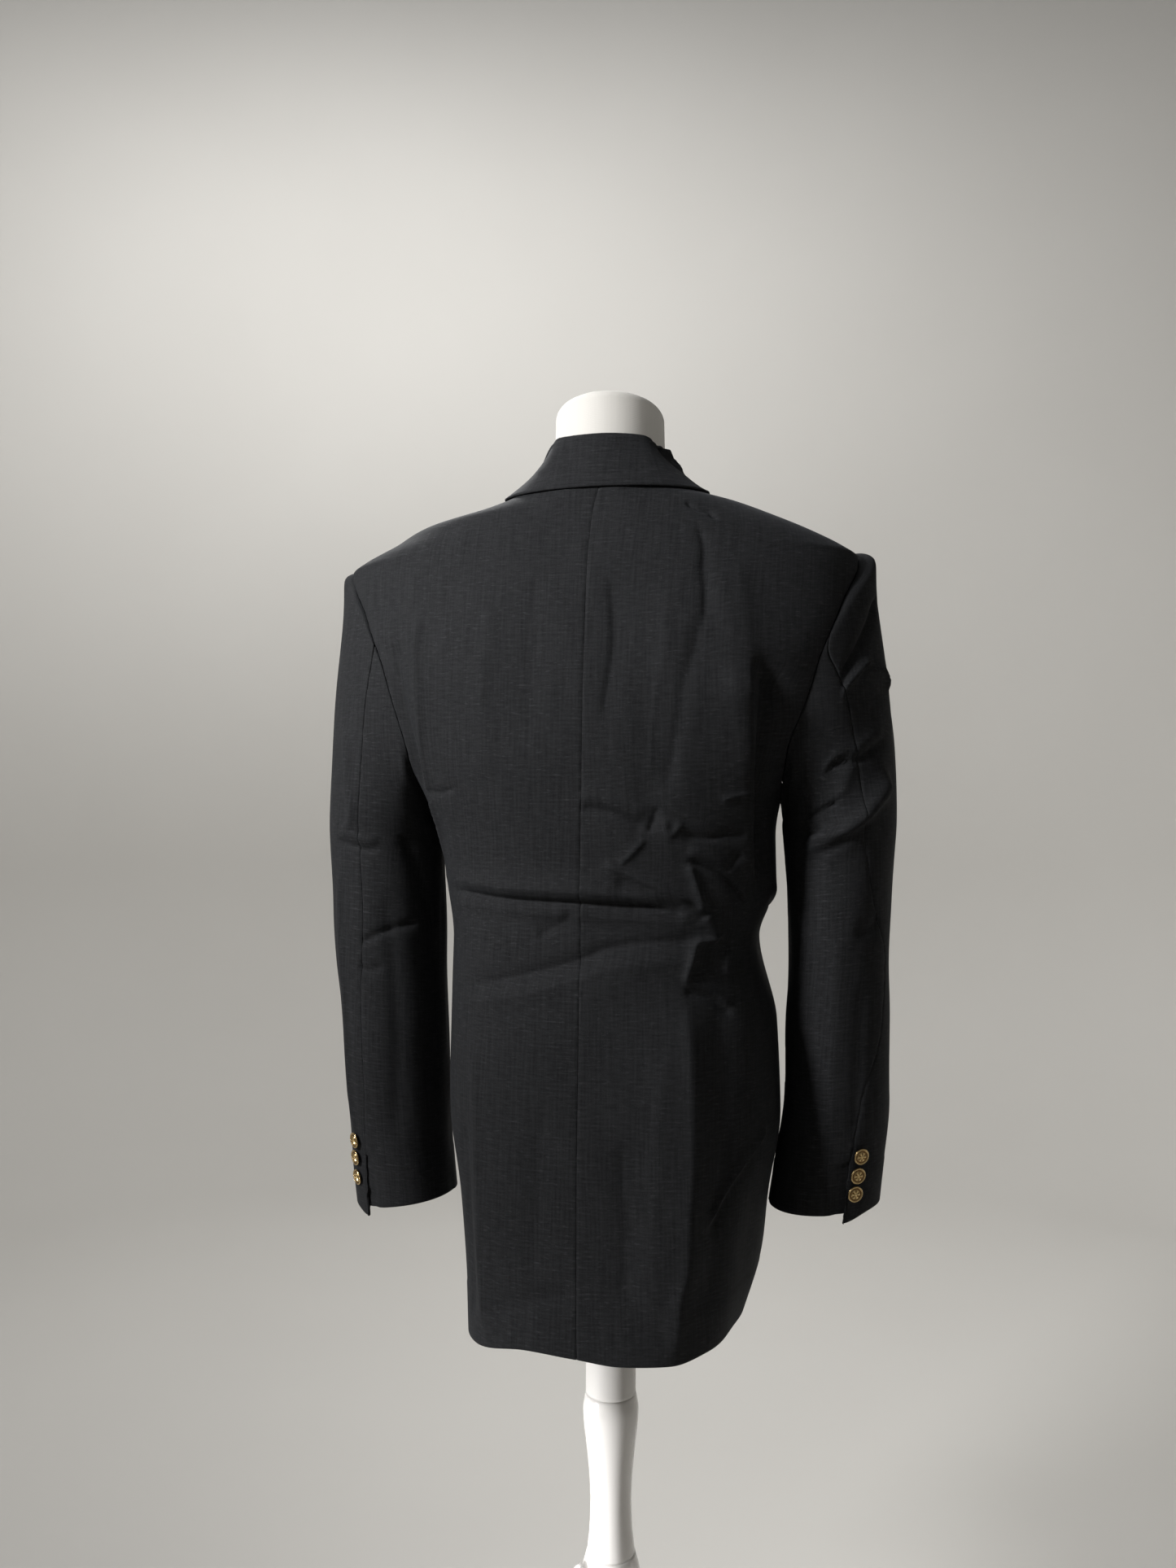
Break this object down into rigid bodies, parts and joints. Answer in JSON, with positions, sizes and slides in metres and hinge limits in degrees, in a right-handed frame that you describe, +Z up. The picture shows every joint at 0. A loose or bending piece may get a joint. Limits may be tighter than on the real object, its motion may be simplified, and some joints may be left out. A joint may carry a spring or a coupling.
{
  "type": "blazer on a dress form with a tripod stand",
  "caption": "A long notched-collar blazer with padded shoulders, two-piece sleeves and gold buttons, worn by a limbless dress form on a turned pole with a tripod base",
  "frame": {"origin": "on the floor, below the middle of the whole object's box", "axes": "+Z up; the wearer's left is +X and the wearer faces -Y"},
  "size_m": [0.5421, 0.417, 1.4346],
  "materials": {
    "blazer_cloth": "matt slubby plain weave",
    "button_gold": "satin",
    "form_jersey": "matt jersey",
    "stand_paint": "gloss"
  },
  "bodies": {
    "root": {"back_left": "blazer_cloth", "front_left": "blazer_cloth", "top_sleeve_left": "blazer_cloth", "under_sleeve_left": "blazer_cloth", "lapel_left": "blazer_cloth", "back_right": "blazer_cloth", "front_right": "blazer_cloth", "top_sleeve_right": "blazer_cloth", "under_sleeve_right": "blazer_cloth", "lapel_right": "blazer_cloth", "collar": "blazer_cloth", "collar_stand": "blazer_cloth", "cuff_button_left_1": "button_gold", "cuff_button_left_2": "button_gold", "cuff_button_left_3": "button_gold", "cuff_button_right_1": "button_gold", "cuff_button_right_2": "button_gold", "cuff_button_right_3": "button_gold", "front_button_1": "button_gold", "front_button_2": "button_gold", "form_torso": "form_jersey", "pole_tube": "stand_paint", "pole_turned": "stand_paint", "base_hub": "stand_paint", "leg_1": "stand_paint", "leg_2": "stand_paint", "leg_3": "stand_paint", "foot_1": "stand_paint", "foot_2": "stand_paint", "foot_3": "stand_paint"}
  },
  "joints": []
}
